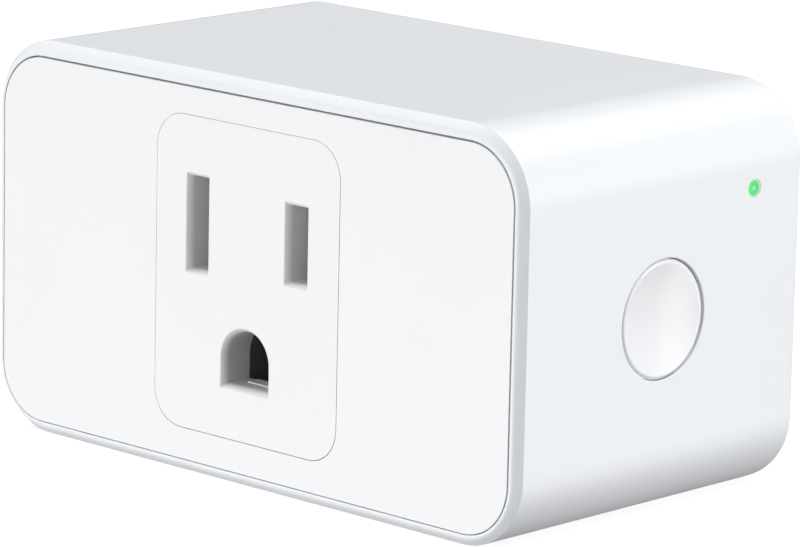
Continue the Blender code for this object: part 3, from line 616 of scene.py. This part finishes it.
def make_blade(node):
    low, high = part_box(node)
    x = (low.x + high.x) / 2
    head = [FRONT + depth for depth in BLADE_HEAD]
    side = [
        (0.45 * BLADE_HALF, high.y),
        (BLADE_HALF, high.y - BLADE_TIP),
        (BLADE_HALF, head[1]),
        (2 * BLADE_HALF, head[1]),
        (2 * BLADE_HALF, head[0]),
        (0.5 * BLADE_HALF, head[0] - 0.1 * MM),
        (0.5 * BLADE_HALF, low.y),
    ]
    outline = [(x + reach, y) for reach, y in side] + [(x - reach, y) for reach, y in side[::-1]]
    blade = stack(node + "_bar", "Z", [(outline, low.z), (outline, high.z)])
    round_edges(blade, BLADE_EDGE)
    edge = BLADE_HOLE_EDGE
    hole = [
        (BLADE_HOLE_RADIUS + 4 * edge, x + BLADE_HALF + 3 * edge),
        (BLADE_HOLE_RADIUS, x + BLADE_HALF - edge),
        (BLADE_HOLE_RADIUS, x - BLADE_HALF + edge),
        (BLADE_HOLE_RADIUS + 4 * edge, x - BLADE_HALF - 3 * edge),
    ]
    cut(blade, turned("blade_hole", "X", (BLADE_HOLE_Y, middle(node).z), hole, 64))
    return finish_piece(blade, node, METAL["plated_brass"])


def make_ground_pin():
    low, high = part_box("ground_pin")
    head = [FRONT + depth for depth in BLADE_HEAD]
    profile = []
    rings = 16
    for ring in range(rings + 1):
        angle = math.pi / 2 * ring / rings
        along = high.y - PIN_RADIUS * (1 - math.cos(angle))
        profile.append((PIN_RADIUS * math.sin(angle), along))
    profile += [
        (PIN_RADIUS, head[1]),
        (1.35 * PIN_RADIUS, head[1]),
        (1.4 * PIN_RADIUS, head[1] - 0.1 * MM),
        (1.4 * PIN_RADIUS, head[0]),
        (0.4 * PIN_RADIUS, head[0]),
        (0.4 * PIN_RADIUS, low.y),
        (0.0, low.y),
    ]
    pin = turned("ground_pin_bar", "Y", (0.0, GROUND_Z), profile, 96)
    return finish_piece(pin, "ground_pin", METAL["plated_brass"])


def make_screw(node):
    """A pan-head cross-recess screw with a coarse plastics thread."""
    low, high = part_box(node)
    centre = middle(node)
    spot = (centre.x, centre.z)
    under_head = high.y - SCREW_HEAD_HEIGHT
    head = soften([
        (0.0, high.y, 0),
        (SCREW_HEAD_RADIUS, high.y, 0.35 * MM),
        (SCREW_HEAD_RADIUS, under_head, 0),
    ])
    rings = []
    for reach, along in head:
        outline = circle(reach, spot, SCREW_STEPS) if reach else [spot]
        rings.append(place("Y", outline, along))
    rings.append(place("Y", circle(SCREW_SHANK, spot, SCREW_STEPS), under_head))
    start = high.y - 1.4 * MM
    for level in range(THREAD_LEVELS + 1):
        along = start + (low.y + 0.1 * MM - start) * level / THREAD_LEVELS
        rings.append(place("Y", thread_outline(spot, along, low.y), along))
    rings.append(place("Y", [spot], low.y))
    screw = loft(node + "_detailed", rings)
    arms = [recess_arm(spot, half, high.y) for half in (
        (RECESS_LONG, RECESS_SHORT),
        (RECESS_SHORT, RECESS_LONG),
    )]
    join(arms[0], arms[1])
    cut(screw, arms[0])
    return finish_piece(screw, node, METAL["plated_steel"], 50)


def thread_outline(spot, along, tip):
    """The screw's outline here: a shank with the thread's crest, fading out towards the tip."""
    fade = min(1.0, (along - tip) / THREAD_TAPER)
    outline = []
    for step in range(SCREW_STEPS):
        turn = step / SCREW_STEPS
        phase = (along / THREAD_PITCH + turn) % 1.0
        height = max(0.0, 1.0 - 3.2 * abs(phase - 0.5))
        reach = (SCREW_SHANK + THREAD_HEIGHT * height) * fade
        angle = 2 * math.pi * turn
        outline.append((spot[0] + reach * math.cos(angle), spot[1] + reach * math.sin(angle)))
    return outline


def recess_arm(spot, half, top):
    """One arm of the cross recess, narrowing with depth."""
    mouth = rounded_rectangle(*half, 0.1 * MM, spot, 3)
    bottom = rounded_rectangle(0.55 * half[0], 0.55 * half[1], 0.05 * MM, spot, 3)
    return stack("arm", "Y", [(mouth, top + 0.2 * MM), (bottom, top - RECESS_DEPTH)])


# Materials


def new_material(name, color, roughness, metallic=0.0):
    material = bpy.data.materials.new(name)
    material.use_nodes = True
    shader = material.node_tree.nodes["Principled BSDF"]
    shader.inputs["Base Color"].default_value = (*color, 1.0)
    shader.inputs["Roughness"].default_value = roughness
    shader.inputs["Metallic"].default_value = metallic
    return material, shader


def add_node(material, kind):
    return material.node_tree.nodes.new(kind)


def wire(material, source, target):
    material.node_tree.links.new(source, target)


def object_space(material, stretch=(1.0, 1.0, 1.0), shift=(0.0, 0.0, 0.0)):
    """Object coordinates, scaled and moved."""
    coordinates = add_node(material, "ShaderNodeTexCoord")
    mapping = add_node(material, "ShaderNodeMapping")
    mapping.inputs["Scale"].default_value = stretch
    mapping.inputs["Location"].default_value = shift
    wire(material, coordinates.outputs["Object"], mapping.inputs["Vector"])
    return mapping.outputs["Vector"]


def noise(material, vector, size, detail=3.0):
    """A noise whose features are about this many metres across."""
    texture = add_node(material, "ShaderNodeTexNoise")
    texture.inputs["Scale"].default_value = 1.0 / size
    texture.inputs["Detail"].default_value = detail
    wire(material, vector, texture.inputs["Vector"])
    return texture.outputs["Fac"]


def spread(material, value, low, high):
    """The value, 0 to 1, mapped to a range."""
    ranged = add_node(material, "ShaderNodeMapRange")
    ranged.inputs["From Min"].default_value = 0.3
    ranged.inputs["From Max"].default_value = 0.7
    ranged.inputs["To Min"].default_value = low
    ranged.inputs["To Max"].default_value = high
    wire(material, value, ranged.inputs["Value"])
    return ranged.outputs["Result"]


def tint(material, shader, value, dark, light):
    ramp = add_node(material, "ShaderNodeValToRGB")
    ramp.color_ramp.elements[0].position = 0.35
    ramp.color_ramp.elements[0].color = (*dark, 1.0)
    ramp.color_ramp.elements[1].position = 0.65
    ramp.color_ramp.elements[1].color = (*light, 1.0)
    wire(material, value, ramp.inputs["Fac"])
    wire(material, ramp.outputs["Color"], shader.inputs["Base Color"])


def bump(material, shader, heights, strength):
    """Relief from (value, height in metres) pairs."""
    previous = None
    for value, height in heights:
        relief = add_node(material, "ShaderNodeBump")
        relief.inputs["Strength"].default_value = strength
        relief.inputs["Distance"].default_value = height
        wire(material, value, relief.inputs["Height"])
        if previous:
            wire(material, previous.outputs["Normal"], relief.inputs["Normal"])
        previous = relief
    wire(material, previous.outputs["Normal"], shader.inputs["Normal"])


def varied(color, change):
    """The colour made lighter or darker by this share."""
    return tuple(max(0.0, min(1.0, channel * (1 + change))) for channel in color)


def moulded_plastic(name, color, roughness, grain=0.25 * MM, relief=0.0015 * MM):
    """Satin moulded plastic: fine spark-eroded grain, faint flow and gloss variation."""
    material, shader = new_material(name, color, roughness)
    space = object_space(material)
    fine = noise(material, space, grain, 2.0)
    flow = noise(material, space, 14 * MM, 2.0)
    tint(material, shader, flow, varied(color, -0.006), varied(color, 0.006))
    gloss = spread(material, fine, roughness - 0.03, roughness + 0.03)
    wire(material, gloss, shader.inputs["Roughness"])
    bump(material, shader, [(flow, 4 * relief), (fine, relief)], 0.5)
    shader.inputs["IOR"].default_value = 1.5
    return material


def brushed_metal(name, color, roughness, stretch=(1.0, 0.06, 1.0)):
    """Drawn or rolled metal: fine lines along the part and a faint uneven tarnish."""
    material, shader = new_material(name, color, roughness, 1.0)
    lines = noise(material, object_space(material, stretch), 0.12 * MM, 3.0)
    stain = noise(material, object_space(material), 2.5 * MM, 4.0)
    tint(material, shader, stain, varied(color, -0.12), varied(color, 0.05))
    gloss = spread(material, lines, roughness - 0.08, roughness + 0.1)
    wire(material, gloss, shader.inputs["Roughness"])
    bump(material, shader, [(lines, 0.003 * MM)], 0.5)
    return material


def wound_wire(name, color, turns_apart):
    """Enamelled wire laid side by side along Y, with painted shade darkening the grooves between
    turns.
    """
    material, shader = new_material(name, color, 0.3, 1.0)
    bands = add_node(material, "ShaderNodeTexWave")
    bands.bands_direction = "Y"
    bands.inputs["Scale"].default_value = 0.314 / turns_apart
    bands.inputs["Distortion"].default_value = 0.6
    wire(material, object_space(material), bands.inputs["Vector"])
    value = bands.outputs["Fac"]
    # Painted shade: the tint darkens the wire where the relief dips between turns.
    tint(material, shader, value, varied(color, -0.45), color)
    bump(material, shader, [(value, 0.05 * MM)], 0.8)
    return material


def circuit_board(name, color):
    """Green solder mask over tracks, which show as slightly raised paler paths."""
    material, shader = new_material(name, color, 0.35)
    tracks = add_node(material, "ShaderNodeTexVoronoi")
    tracks.distance = "MANHATTAN"
    tracks.feature = "F1"
    tracks.inputs["Scale"].default_value = 1 / (3 * MM)
    tracks.inputs["Randomness"].default_value = 0.6
    wire(material, object_space(material), tracks.inputs["Vector"])
    value = tracks.outputs["Distance"]
    tint(material, shader, value, varied(color, 0.5), color)
    bump(material, shader, [(value, 0.03 * MM)], 0.4)
    shader.inputs["Coat Weight"].default_value = 0.4
    return material


def glowing_light(name):
    """Frosted green window, lit from behind: a pale core, a strong ring and a fading edge."""
    material, shader = new_material(name, (0.03, 0.12, 0.05), 0.3)
    centre = middle("light_pipe")
    space = object_space(material, (0.0, 1.0, 1.0), (0.0, -centre.y, -centre.z))
    reach = add_node(material, "ShaderNodeVectorMath")
    reach.operation = "LENGTH"
    wire(material, space, reach.inputs[0])
    ramp = add_node(material, "ShaderNodeValToRGB")
    stops = ramp.color_ramp.elements
    stops[0].position = 0.0
    stops[0].color = (0.38, 0.87, 0.42, 1.0)
    stops[1].position = 1.0
    stops[1].color = (0.66, 0.84, 0.72, 1.0)
    stops.new(0.3).color = (0.07, 0.62, 0.16, 1.0)
    stops.new(0.72).color = (0.07, 0.62, 0.16, 1.0)
    scaled = add_node(material, "ShaderNodeMath")
    scaled.operation = "DIVIDE"
    scaled.inputs[1].default_value = LIGHT_RADIUS
    wire(material, reach.outputs["Value"], scaled.inputs[0])
    wire(material, scaled.outputs["Value"], ramp.inputs["Fac"])
    wire(material, ramp.outputs["Color"], shader.inputs["Emission Color"])
    shader.inputs["Emission Strength"].default_value = 0.95
    return material


PLASTIC = {
    "case": moulded_plastic("case_white", (0.795, 0.815, 0.84), 0.36),
    "plate": moulded_plastic("plate_white", (0.81, 0.82, 0.83), 0.42),
    "socket": moulded_plastic("socket_white", (0.81, 0.82, 0.83), 0.45),
    "button": moulded_plastic("button_white", (0.81, 0.82, 0.84), 0.34),
    "carrier": moulded_plastic("carrier_grey", (0.25, 0.25, 0.26), 0.6, 0.4 * MM, 0.004 * MM),
    "black": moulded_plastic("moulded_black", (0.02, 0.02, 0.022), 0.5, 0.4 * MM, 0.004 * MM),
    "relay": moulded_plastic("relay_blue", (0.04, 0.14, 0.42), 0.3),
    "sleeve": moulded_plastic("shrink_sleeve", (0.03, 0.03, 0.06), 0.3, 0.8 * MM, 0.01 * MM),
    "film": moulded_plastic("film_case_yellow", (0.75, 0.5, 0.06), 0.35),
    "ferrite": moulded_plastic("sintered_ferrite", (0.05, 0.05, 0.055), 0.75, 0.15 * MM, 0.02 * MM),
    "ceramic": moulded_plastic("matt_ceramic", (0.72, 0.66, 0.55), 0.65, 0.2 * MM, 0.01 * MM),
    "varistor": moulded_plastic("epoxy_blue", (0.05, 0.17, 0.45), 0.4, 1.2 * MM, 0.05 * MM),
}
METAL = {
    "plated_brass": brushed_metal("nickel_plate", (0.74, 0.72, 0.67), 0.28),
    "contact_brass": brushed_metal("rolled_brass", (0.78, 0.58, 0.27), 0.33),
    "plated_steel": brushed_metal("zinc_plate", (0.62, 0.63, 0.64), 0.34, (1.0, 1.0, 1.0)),
}
LIGHT_GREEN = glowing_light("status_green")
FINISH = {
    "case_plastic": PLASTIC["case"],
    "faceplate_plastic": PLASTIC["plate"],
    "socket_plastic": PLASTIC["socket"],
    "button_plastic": PLASTIC["button"],
    "carrier_plastic": PLASTIC["carrier"],
    "black_plastic": PLASTIC["black"],
    "relay_plastic": PLASTIC["relay"],
    "capacitor_sleeve": PLASTIC["sleeve"],
    "film_capacitor_case": PLASTIC["film"],
    "ferrite": PLASTIC["ferrite"],
    "ceramic": PLASTIC["ceramic"],
    "varistor_coat": PLASTIC["varistor"],
    "plated_brass": METAL["plated_brass"],
    "contact_brass": METAL["contact_brass"],
    "plated_steel": METAL["plated_steel"],
    "circuit_board": circuit_board("solder_mask", (0.02, 0.15, 0.06)),
    "enamelled_copper": wound_wire("copper_wire", (0.62, 0.24, 0.1), 0.3 * MM),
    "light_pipe_plastic": LIGHT_GREEN,
}
SLOT_OF = {part["node"]: part["material_slot"] for part in frame["record"]["subparts"]}


def dress_nodes():
    """Procedural finishes for the nodes that are shown as they are."""
    for node, item in frame["nodes"].items():
        if not item.hide_render:
            item.material_slots[0].material = FINISH[SLOT_OF[node]]


# Stage


def make_floor():
    """A plain pale floor, just under the case. It only shows to the camera."""
    shape = bmesh.new()
    height = CASE_LOW.z - FLOOR_DROP
    corners = []
    for x, y in ((-1, -1), (1, -1), (1, 1), (-1, 1)):
        corners.append(shape.verts.new((FLOOR_REACH * x, FLOOR_REACH * y, height)))
    shape.faces.new(corners)
    floor = new_object("floor", shape)
    material, shader = new_material("floor_white", (0.8, 0.8, 0.8), 0.9)
    shader.inputs["Specular IOR Level"].default_value = 0.0
    shader.inputs["Emission Color"].default_value = (1.0, 1.0, 1.0, 1.0)
    shader.inputs["Emission Strength"].default_value = FLOOR_GLOW
    floor.data.materials.append(material)
    floor.visible_diffuse = False
    floor.visible_glossy = False
    floor.visible_shadow = False


def make_light_source(name, azimuth, elevation, radiance):
    """A square softbox that faces the object. Azimuth and elevation are as for the camera."""
    data = bpy.data.lights.new(name, "AREA")
    data.size = SOFTBOX_SIZE
    data.energy = radiance * math.pi * SOFTBOX_SIZE * SOFTBOX_SIZE
    lamp = bpy.data.objects.new(name, data)
    bpy.context.scene.collection.objects.link(lamp)
    toward = direction(azimuth, elevation)
    lamp.location = TARGET + toward * SOFTBOX_DISTANCE
    lamp.rotation_euler = toward.to_track_quat("Z", "Y").to_euler()
    return lamp


def direction(azimuth, elevation):
    """A unit vector, from degrees round from -Y towards +X and degrees up."""
    a = math.radians(azimuth)
    e = math.radians(elevation)
    return Vector((math.sin(a) * math.cos(e), -math.cos(a) * math.cos(e), math.sin(e)))


def make_world(radiance):
    world = bpy.data.worlds.new("studio")
    bpy.context.scene.world = world
    world.use_nodes = True
    background = world.node_tree.nodes["Background"]
    background.inputs["Color"].default_value = (1.0, 1.0, 1.0, 1.0)
    background.inputs["Strength"].default_value = radiance


# Name, azimuth, elevation and radiance. All but the last come from a least-squares fit
# to the photo's brightness, which also picked their directions. The last was given.
SOFTBOXES = (
    ("front", -5, 5, 6.13),
    ("front_left", -30, 5, 1.67),
    ("front_low", -30, -25, 6.03),
    ("left_high", -80, 55, 4.64),
    ("left_low", -80, -25, 0.84),
    ("right_front_high", 70, 55, 0.33),
    ("right", 95, 30, 1.49),
    ("rear_right_high", 120, 55, 5.3),
    ("rear_right", 120, 5, 4.87),
    ("rear_right_low", 120, -25, 4.86),
    ("rear_high", 170, 55, 3.51),
    ("above", 0, 85, 1.16),
)


def make_camera():
    data = bpy.data.cameras.new("camera")
    data.lens = LENS
    data.sensor_width = 36.0
    data.clip_end = 20.0
    camera = bpy.data.objects.new("camera", data)
    bpy.context.scene.collection.objects.link(camera)
    toward = direction(AZIMUTH, ELEVATION)
    turn = toward.to_track_quat("Z", "Y").to_matrix() @ Matrix.Rotation(math.radians(ROLL), 3, "Z")
    camera.matrix_world = Matrix.Translation(TARGET + toward * DISTANCE) @ turn.to_4x4()
    bpy.context.scene.camera = camera


make_housing()
make_faceplate()
make_socket_face()
make_button()
make_light()
make_rear_cover()
make_blade("line_blade")
make_blade("neutral_blade")
make_ground_pin()
for screw_node in SCREWS:
    make_screw(screw_node)
dress_nodes()
make_floor()
for softbox in SOFTBOXES:
    make_light_source(*softbox)
make_world(WORLD_RADIANCE)
make_camera()
bpy.context.scene.view_settings.view_transform = "Standard"
